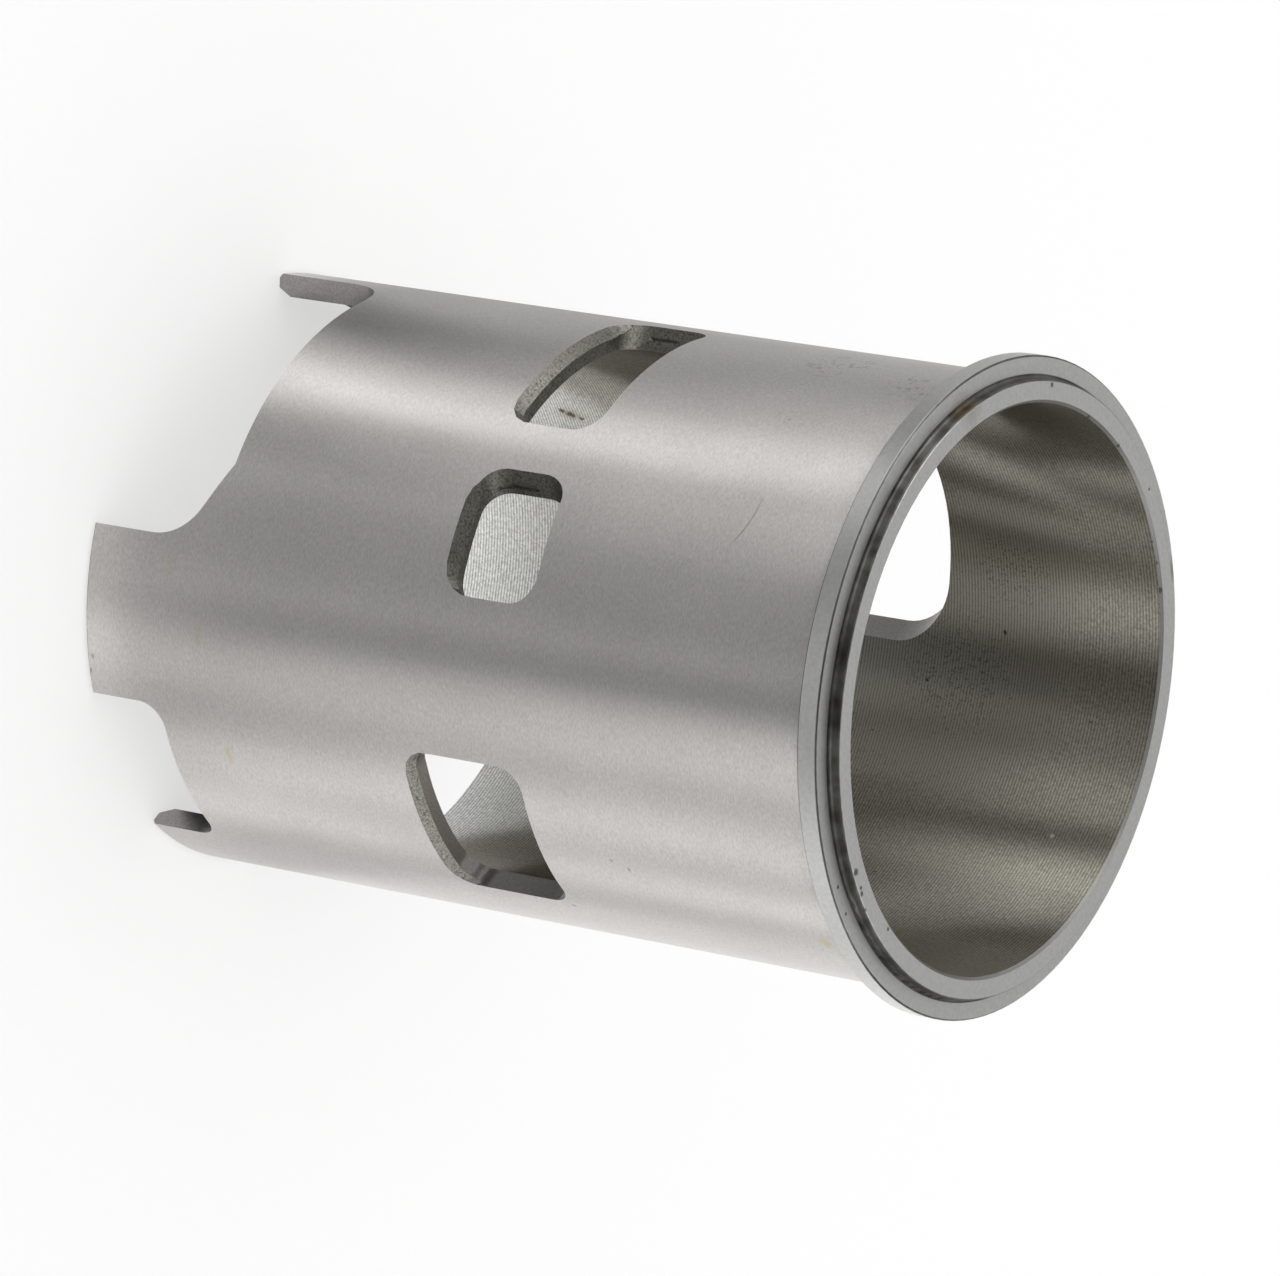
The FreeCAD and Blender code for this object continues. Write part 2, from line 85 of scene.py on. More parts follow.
class TentSetup(bpy.types.PropertyGroup):
    """Camera, light tent and floor."""

    floor: FloatVectorProperty(name="Floor", description="Colour of the floor",
                               subtype="COLOR", size=4, min=0, max=1, default=linear("#FFFFFF"))
    dome: FloatProperty(name="Dome", description="Strength of the white surroundings", default=1.0, min=0.0)
    radius: FloatProperty(name="Tent radius", description="Liner axis to the wall of the tent", default=0.6,
                          unit="LENGTH", subtype="DISTANCE")
    height: FloatProperty(name="Tent height", description="Height of the wall of the tent", default=2.0,
                          unit="LENGTH", subtype="DISTANCE")
    distance: FloatProperty(name="Camera distance", description="Camera to the flange face", default=0.90,
                            unit="LENGTH", subtype="DISTANCE")
    lens: FloatProperty(name="Lens", description="Focal length in millimetres on a 36 mm wide sensor",
                        default=229.57, min=1.0)


def new_material(name):
    """An empty material, its tree and its output."""
    material = bpy.data.materials.new(name)
    material.use_nodes = True
    tree = material.node_tree
    tree.nodes.clear()
    return material, tree, tree.nodes.new("ShaderNodeOutputMaterial")


def place_in_mm(tree):
    """Place on the part in millimetres, in the part's own frame."""
    place = add(tree, "TexCoord").outputs["Object"]
    return add(tree, "VectorMath", {0: place, "Scale": 1 / MM}, operation="SCALE").outputs[0]


def streaks(tree, place, around, along, detail=3.0):
    """Noise drawn out round the liner: streaks this long round the part and this wide along it."""
    drawn = add(tree, "VectorMath", {0: place, 1: (1 / around, 1 / around, 1 / along)},
                operation="MULTIPLY")
    noise = add(tree, "TexNoise", {"Vector": drawn.outputs[0], "Scale": 1.0, "Detail": detail})
    return noise.outputs["Fac"]


def ragged_place(tree, place, size, amount):
    """The place, shaken by noise of this size, so that the edges of marks come out ragged."""
    shake = add(tree, "TexNoise", {"Vector": place, "Scale": 1 / size, "Detail": 4.0}).outputs["Color"]
    centred = add(tree, "VectorMath", {0: shake, 1: (0.5, 0.5, 0.5)}, operation="SUBTRACT").outputs[0]
    return add(tree, "VectorMath", {0: centred, 1: (amount,) * 3, 2: place},
               operation="MULTIPLY_ADD").outputs[0]


def spots(tree, place, marks, soft=0.5):
    """Where small marks lie. Each is a place, its reach round the part and its reach along it, in mm."""
    total = None
    for middle, around, along in marks:
        away = add(tree, "VectorMath", {0: place, 1: middle}, operation="SUBTRACT").outputs[0]
        sized = add(tree, "VectorMath", {0: away, 1: (1 / around, 1 / around, 1 / along)},
                    operation="MULTIPLY").outputs[0]
        far = add(tree, "VectorMath", {0: sized}, operation="LENGTH").outputs["Value"]
        here = add(tree, "MapRange", {0: far, 1: 1.0 - soft, 2: 1.0, 3: 1.0, 4: 0.0}).outputs[0]
        if total is not None:
            here = add(tree, "Math", {0: total, 1: here}, operation="MAXIMUM").outputs[0]
        total = here
    return total


def covered(tree, colour, mask, strength, cover):
    """A colour with marks of another colour over it."""
    share = add(tree, "Math", {0: mask, 1: strength}, operation="MULTIPLY").outputs[0]
    return add(tree, "Mix", {0: share, 6: colour, 7: cover}, data_type="RGBA").outputs[2]


def bare_iron(tree, output, colour, roughness, bump=None, grain=0.0):
    """Bare iron: a metal with its own tint, and a grain that draws its highlights out across it."""
    links = {"Base Color": colour, "Metallic": 1.0, "Roughness": roughness, "Anisotropic": grain}
    if grain:
        links["Tangent"] = add(tree, "Tangent", direction_type="RADIAL", axis="Z").outputs[0]
        links["Anisotropic Rotation"] = 0.25
    if bump is not None:
        links["Normal"] = bump
    shader = add(tree, "BsdfPrincipled", links)
    tree.links.new(shader.outputs[0], output.inputs["Surface"])


# A shallow curved scratch outside, below the flange: centre and radius of its arc, and its own middle.
SCRATCH_CENTRE = (-33.38, -9.11, 76.84)
SCRATCH_RADIUS = 9.37
SCRATCH_MIDDLE = (-32.55, -11.5, 85.6)


def ground_iron(finish):
    """Ground cast iron: the wheel leaves fine lines round the sleeve, so lights draw out along it."""
    material, tree, output = new_material("ground_cast_iron")
    place = place_in_mm(tree)
    fine = streaks(tree, place, 0.45, 0.18)
    broad = add(tree, "TexNoise", {"Vector": place, "Scale": 0.09, "Detail": 2.0}).outputs["Fac"]
    speckle = add(tree, "MapRange", {0: fine, 1: 0.3, 2: 0.7, 3: 0.88, 4: 1.12}).outputs[0]
    clouds = add(tree, "MapRange", {0: broad, 1: 0.3, 2: 0.7, 3: 0.97, 4: 1.03}).outputs[0]
    tone = add(tree, "Math", {0: speckle, 1: clouds}, operation="MULTIPLY").outputs[0]
    colour = add(tree, "Mix", {0: 1.0, 6: finish.ground, 7: tone},
                 data_type="RGBA", blend_type="MULTIPLY").outputs[2]

    rough = ragged_place(tree, place, 0.8, 0.5)
    oil = spots(tree, rough, [
        ((-18.2, -29.4, 16.3), 0.8, 0.35),
        ((-5.4, -34.2, 18.6), 1.8, 0.6),
        ((8.2, -33.6, 94.7), 1.6, 1.0),
        ((11.0, -32.8, 95.8), 2.2, 0.8),
    ], soft=0.8)
    colour = covered(tree, colour, oil, 0.5, finish.oil)
    faint_oil = spots(tree, rough, [
        ((-19.4, -28.6, 16.5), 1.4, 0.5),
        ((-24.8, -24.1, 11.8), 1.8, 0.9),
        ((5.5, -34.2, 10.9), 1.0, 0.7),
    ], soft=0.9)
    colour = covered(tree, colour, faint_oil, 0.2, finish.oil)
    mottled = spots(tree, rough, [
        ((-30.5, 16.2, 81.8), 6.0, 6.0),
        ((-32.0, 13.2, 92.3), 4.0, 3.0),
        ((-32.7, 11.4, 95.7), 3.0, 2.0),
    ], soft=0.7)
    patch = add(tree, "TexNoise", {"Vector": place, "Scale": 1.1, "Detail": 5.0}).outputs["Fac"]
    patch = add(tree, "MapRange", {0: patch, 1: 0.56, 2: 0.64, 3: 0.0, 4: 1.0}).outputs[0]
    mottled = add(tree, "Math", {0: mottled, 1: patch}, operation="MULTIPLY").outputs[0]
    colour = covered(tree, colour, mottled, 0.35, finish.grit)
    marks = spots(tree, rough, [
        ((-14.8, -31.3, 1.0), 0.4, 0.3),
        ((-13.2, -32.0, 0.6), 0.3, 0.25),
        ((-25.8, 23.0, 75.5), 0.3, 0.25),
        ((-34.5, 2.9, 83.5), 0.25, 0.25),
        ((1.0, -34.6, 71.7), 0.5, 0.3),
        ((10.9, -32.8, 59.6), 0.3, 0.4),
        ((-0.1, -34.6, 69.7), 0.3, 0.3),
    ])
    colour = covered(tree, colour, marks, 0.4, finish.grit)
    reach = add(tree, "VectorMath", {0: place, 1: SCRATCH_CENTRE}, operation="DISTANCE").outputs["Value"]
    reach = add(tree, "Math", {0: reach, 1: SCRATCH_RADIUS}, operation="SUBTRACT").outputs[0]
    reach = add(tree, "Math", {0: reach}, operation="ABSOLUTE").outputs[0]
    scratch = add(tree, "MapRange", {0: reach, 1: 0.03, 2: 0.13, 3: 1.0, 4: 0.0}).outputs[0]
    length = spots(tree, place, [(SCRATCH_MIDDLE, 3.4, 3.4)], soft=0.5)
    scratch = add(tree, "Math", {0: scratch, 1: length}, operation="MULTIPLY").outputs[0]
    colour = covered(tree, colour, scratch, 0.45, finish.grit)
    bump = add(tree, "Bump", {"Strength": 0.2, "Distance": 0.003 * MM, "Height": fine}).outputs[0]
    bare_iron(tree, output, colour, 0.34, bump, grain=1.0)
    return material


def bored_iron(finish):
    """Bored cast iron: a single-point tool leaves one fine groove per turn, and graphite pits show dark."""
    material, tree, output = new_material("bored_cast_iron")
    place = place_in_mm(tree)
    height = add(tree, "SeparateXYZ", {0: place}).outputs["Z"]
    wander = streaks(tree, place, 6.0, 3.0, 1.0)
    turns = add(tree, "Math", {0: height, 1: 2 * math.pi / finish.tool_pitch},
                operation="MULTIPLY").outputs[0]
    turns = add(tree, "Math", {0: wander, 1: 2.0, 2: turns}, operation="MULTIPLY_ADD").outputs[0]
    groove = add(tree, "Math", {0: turns}, operation="SINE").outputs[0]
    fine = add(tree, "TexNoise", {"Vector": place, "Scale": 3.0, "Detail": 3.0}).outputs["Fac"]
    lines = add(tree, "MapRange", {0: groove, 1: -1.0, 2: 1.0, 3: 0.62, 4: 1.14}).outputs[0]
    speckle = add(tree, "MapRange", {0: fine, 1: 0.35, 2: 0.65, 3: 0.76, 4: 1.16}).outputs[0]
    tone = add(tree, "Math", {0: lines, 1: speckle}, operation="MULTIPLY").outputs[0]
    colour = add(tree, "Mix", {0: 1.0, 6: finish.bored, 7: tone},
                 data_type="RGBA", blend_type="MULTIPLY").outputs[2]

    cells = add(tree, "TexVoronoi", {"Vector": place, "Scale": 0.42})
    pit = add(tree, "MapRange", {0: cells.outputs["Distance"], 1: 0.03, 2: 0.06, 3: 1.0, 4: 0.0}).outputs[0]
    colour = covered(tree, colour, pit, 0.75, finish.grit)
    rough = ragged_place(tree, place, 0.5, 0.5)
    torn = add(tree, "TexNoise", {"Vector": place, "Scale": 3.0, "Detail": 4.0}).outputs["Fac"]
    torn = add(tree, "MapRange", {0: torn, 1: 0.50, 2: 0.62, 3: 0.0, 4: 1.0}).outputs[0]
    patch = spots(tree, rough, [
        ((23.0, 22.0, 76.0), 16.0, 18.0),
        ((12.0, 29.6, 83.0), 10.0, 12.0),
    ], soft=0.8)
    torn = add(tree, "Math", {0: torn, 1: patch}, operation="MULTIPLY").outputs[0]
    colour = covered(tree, colour, torn, 0.6, finish.grit)
    halo = spots(tree, rough, [((0.4, 32.0, 23.9), 1.2, 2.3)], soft=0.9)
    colour = covered(tree, colour, halo, 0.55, finish.deposit)
    core = spots(tree, rough, [
        ((0.1, 32.0, 22.8), 0.40, 0.55),
        ((0.5, 32.0, 23.9), 0.50, 0.80),
        ((0.9, 32.0, 25.3), 0.35, 0.50),
        ((19.0, 25.7, 81.9), 0.35, 0.30),
        ((24.1, 21.1, 72.2), 0.30, 0.30),
    ])
    colour = covered(tree, colour, core, 0.85, finish.grit)
    # Painted highlight: a near-white spot on the bore near its mouth.
    painted_glint = spots(tree, rough, [((31.2, 7.2, 94.5), 0.45, 0.40)], soft=0.6)
    colour = covered(tree, colour, painted_glint, 0.9, "#FFF2E8")
    bump = add(tree, "Bump", {"Strength": 0.5, "Distance": 0.010 * MM, "Height": groove}).outputs[0]
    bare_iron(tree, output, colour, 0.30, bump, grain=1.0)
    return material


# Where painted shade lies on the flange, in mm: a near-black band in the spigot's root, dark lines along
# the rim's edges and a darker band at the bore's mouth. Each pair is where it starts and ends: off the
# spigot's root, off the middle between the flange's edges, out at the rim, and in at the bore's mouth.
SPIGOT_ROOT = 34.70
ROOT_REACH = (0.28, 0.40)
FLANGE_MIDDLE = 100.25
EDGE_REACH = (1.02, 1.10)
RIM_RADII = (36.85, 36.93)
MOUTH_RADII = (32.28, 32.36)


def turned_iron(finish):
    """Turned cast iron: faced on the lathe, satin, with small pits and grime spots, and painted shade in
    the spigot's root, along the rim's edges and at the bore's mouth.
    """
    material, tree, output = new_material("turned_cast_iron")
    place = place_in_mm(tree)
    fine = add(tree, "TexNoise", {"Vector": place, "Scale": 2.2, "Detail": 4.0}).outputs["Fac"]
    tone = add(tree, "MapRange", {0: fine, 1: 0.3, 2: 0.7, 3: 0.92, 4: 1.06}).outputs[0]
    colour = add(tree, "Mix", {0: 1.0, 6: finish.turned, 7: tone},
                 data_type="RGBA", blend_type="MULTIPLY").outputs[2]

    flat = add(tree, "VectorMath", {0: place, 1: (1.0, 1.0, 0.0)}, operation="MULTIPLY").outputs[0]
    radius = add(tree, "VectorMath", {0: flat}, operation="LENGTH").outputs["Value"]
    # Painted shade: a near-black band in the crease of the spigot's root.
    from_root = add(tree, "Math", {0: radius, 1: SPIGOT_ROOT}, operation="SUBTRACT").outputs[0]
    from_root = add(tree, "Math", {0: from_root}, operation="ABSOLUTE").outputs[0]
    root = add(tree, "MapRange", {0: from_root, 1: ROOT_REACH[0], 2: ROOT_REACH[1],
                                 3: 1.0, 4: 0.0}).outputs[0]
    patchy = add(tree, "TexNoise", {"Vector": place, "Scale": 0.35, "Detail": 4.0}).outputs["Fac"]
    patchy = add(tree, "MapRange", {0: patchy, 1: 0.35, 2: 0.65, 3: 0.90, 4: 1.0}).outputs[0]
    root = add(tree, "Math", {0: root, 1: patchy}, operation="MULTIPLY").outputs[0]
    colour = covered(tree, colour, root, 0.97, "#201E18")

    # Painted shade and painted dark reflection: near-black lines along both edges of the flange's rim.
    height = add(tree, "SeparateXYZ", {0: place}).outputs["Z"]
    from_middle = add(tree, "Math", {0: height, 1: FLANGE_MIDDLE}, operation="SUBTRACT").outputs[0]
    from_middle = add(tree, "Math", {0: from_middle}, operation="ABSOLUTE").outputs[0]
    edges = add(tree, "MapRange", {0: from_middle, 1: EDGE_REACH[0], 2: EDGE_REACH[1],
                                  3: 0.0, 4: 1.0}).outputs[0]
    outmost = add(tree, "MapRange", {0: radius, 1: RIM_RADII[0], 2: RIM_RADII[1],
                                    3: 0.0, 4: 1.0}).outputs[0]
    edges = add(tree, "Math", {0: edges, 1: outmost}, operation="MULTIPLY").outputs[0]
    colour = covered(tree, colour, edges, 0.92, "#201E18")
    # Painted shade: a darker band on the edge break at the bore's mouth, which dims its highlight.
    mouth = add(tree, "MapRange", {0: radius, 1: MOUTH_RADII[0], 2: MOUTH_RADII[1],
                                  3: 1.0, 4: 0.0}).outputs[0]
    colour = covered(tree, colour, mouth, 0.75, "#45423A")

    rough = ragged_place(tree, place, 0.5, 0.35)
    grime = spots(tree, rough, [
        ((-33.1, 9.7, 102.2), 3.2, 1.0),
        ((13.3, 34.2, 101.5), 1.8, 1.0),
    ], soft=0.8)
    colour = covered(tree, colour, grime, 0.5, finish.deposit)
    pits = spots(tree, rough, [
        ((-33.1, 9.7, 102.2), 1.0, 0.6),
        ((-4.5, -33.6, 102.8), 0.55, 0.3),
        ((-2.3, -33.8, 102.8), 0.30, 0.3),
        ((-1.6, -34.0, 102.8), 0.40, 0.3),
        ((0.5, -34.4, 102.7), 0.30, 0.3),
        ((5.6, -32.2, 102.8), 0.25, 0.3),
        ((-24.4, 23.7, 102.8), 0.40, 0.3),
        ((-15.9, 27.9, 102.6), 0.30, 0.3),
        ((-8.8, 31.0, 102.7), 0.30, 0.3),
        ((0.0, 33.5, 102.8), 0.25, 0.3),
        ((-4.0, -35.7, 101.5), 0.30, 0.3),
        ((-0.3, -36.1, 101.5), 0.25, 0.3),
        ((6.1, 31.4, 102.2), 0.45, 0.5),
        ((8.9, 30.7, 102.4), 0.35, 0.5),
        ((12.1, 29.7, 102.5), 0.45, 0.5),
    ])
    colour = covered(tree, colour, pits, 0.8, finish.grit)
    bump = add(tree, "Bump", {"Strength": 0.2, "Distance": 0.01 * MM, "Height": fine}).outputs[0]
    bare_iron(tree, output, colour, 0.42, bump)
    return material


def milled_iron(finish):
    """End-milled cast iron: walls of the other ports and the skirt, darker than the turning and mottled."""
    material, tree, output = new_material("milled_cast_iron")
    place = place_in_mm(tree)
    fine = add(tree, "TexNoise", {"Vector": place, "Scale": 3.2, "Detail": 4.0}).outputs["Fac"]
    tone = add(tree, "MapRange", {0: fine, 1: 0.32, 2: 0.68, 3: 0.84, 4: 1.10}).outputs[0]
    bump = add(tree, "Bump", {"Strength": 0.3, "Distance": 0.01 * MM, "Height": fine}).outputs[0]
    colour = add(tree, "Mix", {0: 1.0, 6: finish.milled, 7: tone},
                 data_type="RGBA", blend_type="MULTIPLY").outputs[2]
    bare_iron(tree, output, colour, 0.36, bump)
    return material


# Painted shade on the transfer ports' walls, in mm: where it starts beside the boost port, and is full.
SHADE_START = -28.0
SHADE_FULL = -26.0


def coarse_iron(finish):
    """Coarsely milled cast iron: torn by the cutter, matt with black specks, with painted shade on the
    transfer ports' walls.
    """
    material, tree, output = new_material("torn_cast_iron")
    place = place_in_mm(tree)
    fine = add(tree, "TexNoise", {"Vector": place, "Scale": 4.5, "Detail": 5.0}).outputs["Fac"]
    tone = add(tree, "MapRange", {0: fine, 1: 0.35, 2: 0.65, 3: 0.60, 4: 1.25}).outputs[0]
    colour = add(tree, "Mix", {0: 1.0, 6: finish.coarse, 7: tone},
                 data_type="RGBA", blend_type="MULTIPLY").outputs[2]
    speck = add(tree, "TexNoise", {"Vector": place, "Scale": 2.6, "Detail": 4.0}).outputs["Fac"]
    speck = add(tree, "MapRange", {0: speck, 1: 0.54, 2: 0.66, 3: 0.0, 4: 1.0}).outputs[0]
    colour = covered(tree, colour, speck, 0.6, finish.grit)
    # Painted shade: the transfer ports' walls darkened a third of the way towards the grit colour.
    side = add(tree, "SeparateXYZ", {0: place}).outputs["Y"]
    port_shade = add(tree, "MapRange", {0: side, 1: SHADE_START, 2: SHADE_FULL, 3: 0.0, 4: 1.0}).outputs[0]
    colour = covered(tree, colour, port_shade, 0.33, finish.grit)
    bump = add(tree, "Bump", {"Strength": 0.6, "Distance": 0.03 * MM, "Height": fine}).outputs[0]
    bare_iron(tree, output, colour, 0.50, bump)
    return material


FINISHES = (ground_iron, bored_iron, turned_iron, milled_iron, coarse_iron)

# What tells the faces apart, in mm. The transfer ports lie between two heights, short of the exhaust port.
BODY_RADIUS = 34.6
BORE_RADIUS = 32.0
FLANGE_BACK = 99.0
LEAD_IN_TOP = 1.65
BOOST_HALF_WIDTH = 10.4
SKIRT_TOP = 30.0
TRANSFER_TOP = 65.0
TRANSFER_REACH = 20.5
CLOSE = 0.03


def finish_of(mesh, face):
    """The machining that made a face, from where it lies and the way it faces."""
    corners = [mesh.vertices[i].co / MM for i in face.vertices]
    radii = [math.hypot(corner.x, corner.y) for corner in corners]
    low = min(corner.z for corner in corners)
    high = max(corner.z for corner in corners)
    middle = face.center / MM
    outward = (face.normal.x * middle.x + face.normal.y * middle.y) / math.hypot(middle.x, middle.y)
    upright = abs(face.normal.z) < 0.02 and abs(outward) > 0.95
    on_body = all(abs(radius - BODY_RADIUS) < CLOSE for radius in radii)
    on_bore = all(abs(radius - BORE_RADIUS) < CLOSE for radius in radii)
    if upright and on_body and high < FLANGE_BACK + CLOSE:
        return ground_iron
    if upright and on_bore:
        return bored_iron
    if low > FLANGE_BACK - CLOSE or high < LEAD_IN_TOP + CLOSE and abs(face.normal.z) > 0.3:
        return turned_iron
    boost_ramp = abs(middle.x) < BOOST_HALF_WIDTH and middle.y < 0 and outward > 0.5
    beside = abs(middle.x) >= BOOST_HALF_WIDTH and middle.y < TRANSFER_REACH
    if boost_ramp or beside and SKIRT_TOP < middle.z < TRANSFER_TOP:
        return coarse_iron
    return milled_iron


class LINER_OT_finish(bpy.types.Operator):
    """Give each machined surface of the liner its finish"""

    bl_idname = "liner.finish"
    bl_label = "Finish the liner"

    def execute(self, context):
        mesh = LINER.data
        mesh.materials.clear()
        for make in FINISHES:
            mesh.materials.append(make(context.scene.liner_finish))
        for face in mesh.polygons:
            face.material_index = FINISHES.index(finish_of(mesh, face))
        return {"FINISHED"}


# The camera's view: how far the flange end leans towards it, how far the axis falls to the right, how the
# liner is turned on its axis, and where the flange face's middle lies at unit distance (right, down, away).
LEAN = math.radians(33.555)
FALL = math.radians(9.588)
FRONT_ANGLE = math.radians(-138.2)
FLANGE_IN_VIEW = Vector((0.0443, 0.00627, 1.0))
FLANGE_FACE = Vector((0, 0, 101.5 * MM))

# The tent's grey and white panels: degrees from the camera side, down the picture first, and brightness.
# They were set until the lights and darks on the metal lay where the photograph has them.
LOW_PANELS = [(-180, 0.8), (-132, 0.4), (-105, 0.4), (-93, 0.2), (-80, 0.05), (-66, 0.4), (-58, 0.85),
              (-50, 0.5), (-34, 0.1), (-20, 0.2), (8, 0.45), (21, 0.25), (37, 0.35), (52, 0.6), (68, 0.8),
              (87, 0.65), (108, 0.65), (118, 0.9), (150, 1.0), (180, 0.8)]
HIGH_PANELS = [(-152, 0.05), (-134, 0.15), (-122, 0.15), (-114, 0.0), (-106, 0.0), (-97, 0.35), (-76, 0.7),
               (-66, 0.6), (-60, 0.0), (-54, 0.0), (-46, 0.3), (-33, 0.4), (-24, 0.2), (-1, 0.0), (20, 0.0),
               (28, 0.25), (34, 0.4), (46, 0.4), (53, 0.05), (66, 0.05), (76, 0.35), (84, 0.0), (92, 0.05),
               (96, 0.7), (101, 0.7), (106, 0.0), (124, 0.05)]


# How strongly the rows of panels shine, and between which heights (m) each gives way to what is above it.
LOW_STRENGTH = 1.25
HIGH_STRENGTH = 10.0
ROOF_GREY = "#C0C0C0"
ROW_EDGE = (0.17, 0.20)
ROOF_EDGE = (0.62, 0.74)
GLASS_STRENGTH = 2.6
# How much of the floor's own white is seen, beside the light that falls on it.
FLOOR_GLOW = 0.55

# The tent's wall in steps round it, its inner edge on the floor and the hole in its roof.
TENT_STEPS = 72
TENT_INNER = 0.042
ROOF_HOLE = 0.001
TENT_LIFT = 0.0005
# Pads under the liner: start and end in degrees from the camera side, inner and outer radius and lift in m.
GLASS = (142, 202, 0.004, 0.031, 0.0005)
VELVET = (78, 390, 0.0, 0.0315, 0.0003)
PAD_STEP = 6


def camera_pose(distance):
    """Where the camera stands and how it is turned, from how the flange face lies in the picture."""
    height = Vector((math.cos(LEAN) * math.cos(FALL), math.cos(LEAN) * math.sin(FALL), -math.sin(LEAN)))
    side = Vector((-math.sin(FALL), math.cos(FALL), 0))
    across = math.cos(FRONT_ANGLE) * side.cross(height) - math.sin(FRONT_ANGLE) * side
    turn = Matrix((across, height.cross(across), height))
    place = FLANGE_FACE - turn @ (FLANGE_IN_VIEW * distance)
    axes = Matrix((turn @ Vector((1, 0, 0)), turn @ Vector((0, -1, 0)), turn @ Vector((0, 0, -1))))
    return Matrix.Translation(place) @ axes.transposed().to_4x4()


def stand(name, points, faces, material):
    """A piece of the set, which isn't part of the liner."""
    mesh = bpy.data.meshes.new(name)
    mesh.from_pydata(points, [], faces)
    mesh.materials.append(material)
    piece = bpy.data.objects.new(name, mesh)
    bpy.context.scene.collection.objects.link(piece)
    return piece


def only_mirrored(piece):
    """Let a piece of the set be seen in reflections only."""
    piece.visible_camera = False
    piece.visible_diffuse = False
    piece.visible_shadow = False


def pad(name, shape, material):
    """A flat sector under the liner that only the metal mirrors."""
    start, end, inner, outer, lift = shape
    turns = [FRONT_ANGLE + math.radians(angle) for angle in range(start, end + 1, PAD_STEP)]
    edges = [(outer, turns)] + ([(inner, turns[::-1])] if inner else [])
    points = [(r * math.cos(t), r * math.sin(t), lift) for r, edge in edges for t in edge]
    only_mirrored(stand(name, points, [tuple(range(len(points)))], material))


def tent_cloth():
    """White and grey cloth lit from behind: soft panels round the liner in two rows, and a grey roof."""
    material, tree, output = new_material("tent_cloth")
    place = add(tree, "TexCoord").outputs["Object"]
    around = add(tree, "TexGradient", {"Vector": place}, gradient_type="RADIAL").outputs["Fac"]
    rows = []
    for panels, strength in ((LOW_PANELS, LOW_STRENGTH), (HIGH_PANELS, HIGH_STRENGTH)):
        ramp = add(tree, "ValToRGB", {"Fac": around})
        stops = ramp.color_ramp.elements
        while len(stops) < len(panels):
            stops.new(0.5)
        for stop, (angle, brightness) in zip(stops, panels):
            stop.position = (angle + 180) / 360
            stop.color = (brightness, brightness, brightness, 1.0)
        glow = add(tree, "Emission", {"Color": ramp.outputs["Color"], "Strength": strength})
        rows.append(glow.outputs[0])
    height = add(tree, "SeparateXYZ", {0: place}).outputs["Z"]
    share = add(tree, "MapRange", {0: height, 1: ROW_EDGE[0], 2: ROW_EDGE[1], 3: 0.0, 4: 1.0}).outputs[0]
    cloth = add(tree, "MixShader", {0: share, 1: rows[0], 2: rows[1]}).outputs[0]
    roof = add(tree, "Emission", {"Color": ROOF_GREY, "Strength": 1.0}).outputs[0]
    share = add(tree, "MapRange", {0: height, 1: ROOF_EDGE[0], 2: ROOF_EDGE[1], 3: 0.0, 4: 1.0}).outputs[0]
    cloth = add(tree, "MixShader", {0: share, 1: cloth, 2: roof}).outputs[0]
    tree.links.new(cloth, output.inputs["Surface"])
    return material


def lit_glass():
    """Opal glass lit from below, under the liner."""
    material, tree, output = new_material("opal_glass")
    glow = add(tree, "Emission", {"Color": "#EEF2FF", "Strength": GLASS_STRENGTH})
    tree.links.new(glow.outputs[0], output.inputs["Surface"])
    return material


def black_velvet():
    """Black velvet under the liner, which keeps stray light out of the bore."""
    material, tree, output = new_material("black_velvet")
    shader = add(tree, "BsdfDiffuse", {"Color": "#0A0A0A"})
    tree.links.new(shader.outputs[0], output.inputs["Surface"])
    return material


def white_floor(colour):
    """A plain matt white floor that keeps the liner's soft shadow, lighter where it is seen."""
    material, tree, output = new_material("matt_white_floor")
    ray = add(tree, "LightPath").outputs
    seen = add(tree, "Math", {0: ray["Is Camera Ray"], 1: ray["Is Glossy Ray"]},
               operation="MAXIMUM").outputs[0]
    seen = add(tree, "Math", {0: seen, 1: ray["Is Transmission Ray"]}, operation="MAXIMUM").outputs[0]
    seen = add(tree, "Math", {0: seen, 1: FLOOR_GLOW}, operation="MULTIPLY").outputs[0]
    matt = add(tree, "BsdfDiffuse", {"Color": colour}).outputs[0]
    white = add(tree, "Emission", {"Color": colour, "Strength": 1.0}).outputs[0]
    shader = add(tree, "MixShader", {0: seen, 1: matt, 2: white})
    tree.links.new(shader.outputs[0], output.inputs["Surface"])
    return material


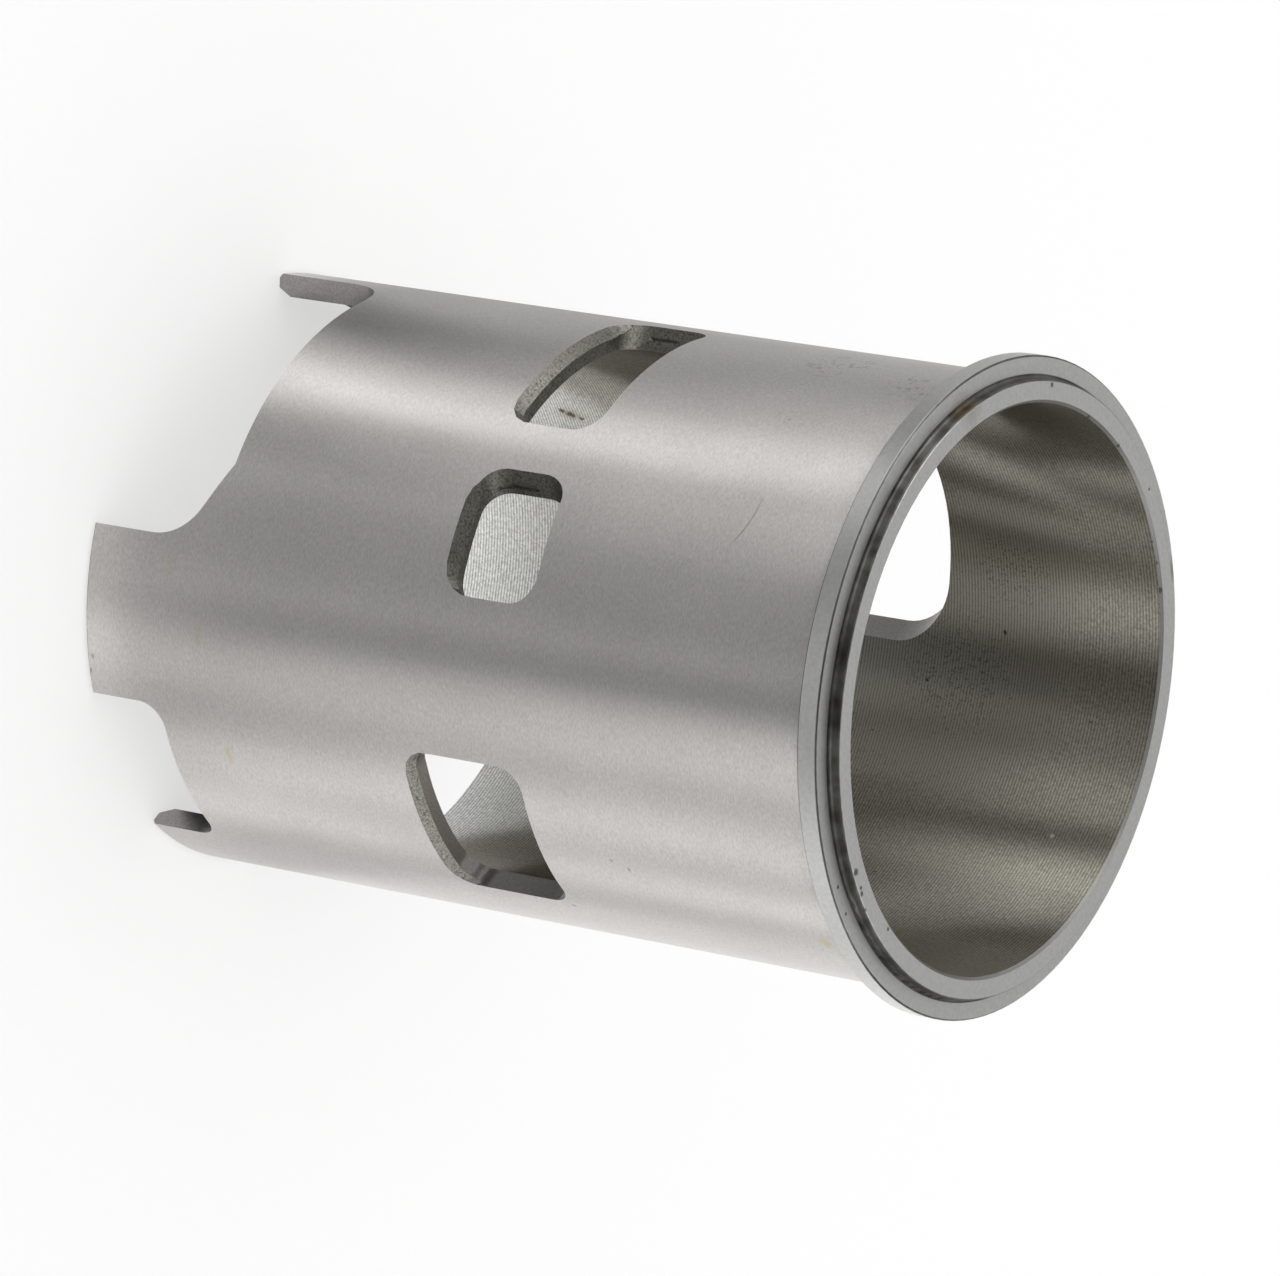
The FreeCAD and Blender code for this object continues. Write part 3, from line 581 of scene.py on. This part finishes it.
class LINER_OT_tent(bpy.types.Operator):
    """Set up floor, light tent and camera"""

    bl_idname = "liner.tent"
    bl_label = "Set up the light tent"

    def execute(self, context):
        scene = context.scene
        setup = scene.liner_tent
        scene.view_settings.view_transform = "Standard"

        stand("floor", [(-4, -4, 0), (4, -4, 0), (4, 4, 0), (-4, 4, 0)], [(0, 1, 2, 3)],
              white_floor(list(setup.floor)))

        turns = [2 * math.pi * i / TENT_STEPS for i in range(TENT_STEPS)]
        rings = [(TENT_INNER, TENT_LIFT), (setup.radius, TENT_LIFT),
                 (setup.radius, setup.height), (ROOF_HOLE, setup.height)]
        points = [(r * math.cos(t), r * math.sin(t), z) for r, z in rings for t in turns]
        faces = []
        for ring in range(len(rings) - 1):
            for i in range(TENT_STEPS):
                here = ring * TENT_STEPS + i
                beside = ring * TENT_STEPS + (i + 1) % TENT_STEPS
                faces.append((here, beside, beside + TENT_STEPS, here + TENT_STEPS))
        tent = stand("tent", points, faces, tent_cloth())
        tent.rotation_euler.z = FRONT_ANGLE
        only_mirrored(tent)
        pad("glass", GLASS, lit_glass())
        pad("velvet", VELVET, black_velvet())

        world = bpy.data.worlds.new("white_dome")
        scene.world = world
        world.use_nodes = True
        backdrop = world.node_tree.nodes["Background"]
        backdrop.inputs["Color"].default_value = linear("#FFFFFF")
        backdrop.inputs["Strength"].default_value = setup.dome

        lens = bpy.data.cameras.new("camera")
        lens.sensor_width = 36
        lens.lens = setup.lens
        lens.clip_start = 0.01
        lens.clip_end = 20
        camera = bpy.data.objects.new("camera", lens)
        scene.collection.objects.link(camera)
        camera.matrix_world = camera_pose(setup.distance)
        scene.camera = camera
        return {"FINISHED"}


class LINER_PT_panel(bpy.types.Panel):
    """The liner's colours, its tent and its steps"""

    bl_idname = "LINER_PT_panel"
    bl_label = "Liner"
    bl_space_type = "VIEW_3D"
    bl_region_type = "UI"
    bl_category = "Liner"

    def draw(self, context):
        scene = context.scene
        for group in (scene.liner_finish, scene.liner_tent):
            for name in group.bl_rna.properties.keys():
                if name not in ("rna_type", "name"):
                    self.layout.prop(group, name)
        for step in STEPS:
            self.layout.operator(step.bl_idname)


STEPS = (LINER_OT_finish, LINER_OT_tent)
CLASSES = (LinerFinish, TentSetup, *STEPS, LINER_PT_panel)


def register():
    for item in CLASSES:
        bpy.utils.register_class(item)
    bpy.types.Scene.liner_finish = PointerProperty(type=LinerFinish)
    bpy.types.Scene.liner_tent = PointerProperty(type=TentSetup)


def unregister():
    del bpy.types.Scene.liner_tent
    del bpy.types.Scene.liner_finish
    for item in reversed(CLASSES):
        bpy.utils.unregister_class(item)


def main():
    register()
    bpy.ops.liner.finish()
    bpy.ops.liner.tent()


if __name__ == "__main__":
    main()
